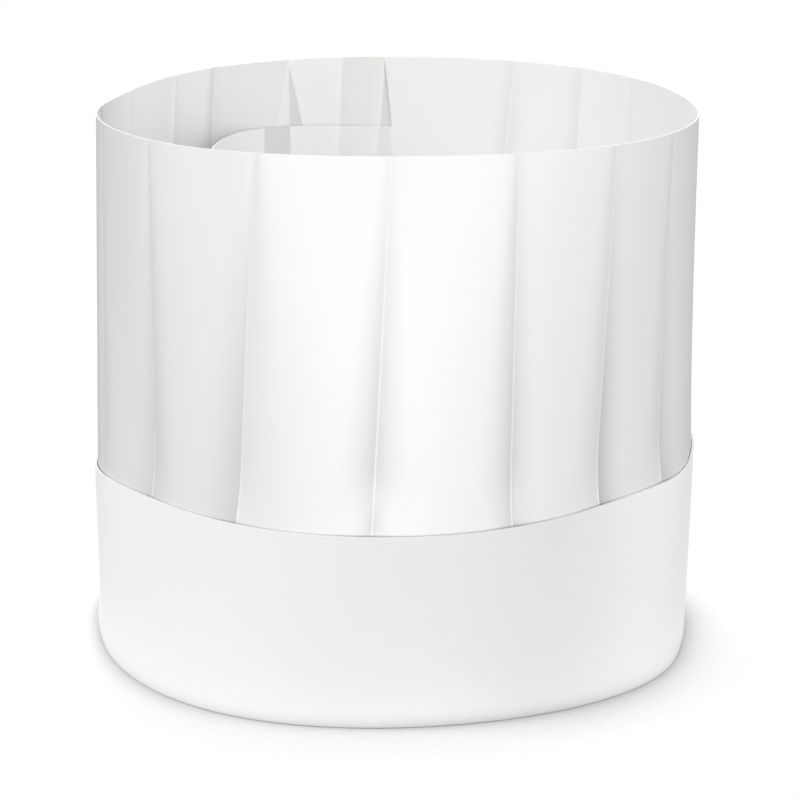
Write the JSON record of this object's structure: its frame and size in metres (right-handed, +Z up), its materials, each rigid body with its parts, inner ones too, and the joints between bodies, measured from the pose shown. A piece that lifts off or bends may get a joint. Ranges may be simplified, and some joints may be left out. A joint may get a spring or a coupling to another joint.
{
  "type": "paper chef hat",
  "caption": "Open-topped paper chef hat: a pleated paper sheet wound into an oval tube, standing in a plain card headband.",
  "frame": {"origin": "middle of the hat's plan, on the surface that the headband's lower edge stands on", "axes": "+Z up from the headband to the open rim, -Y to the front of the hat, +X to the right as seen from the front"},
  "size_m": [0.203, 0.2043, 0.178],
  "materials": {
    "crown_paper": "smooth calendered white paper with a soft satin sheen, creased lengthwise",
    "headband_card": "plain matte white card"
  },
  "bodies": {
    "root": {"crown_sheet": "crown_paper", "headband": "headband_card"}
  },
  "joints": []
}
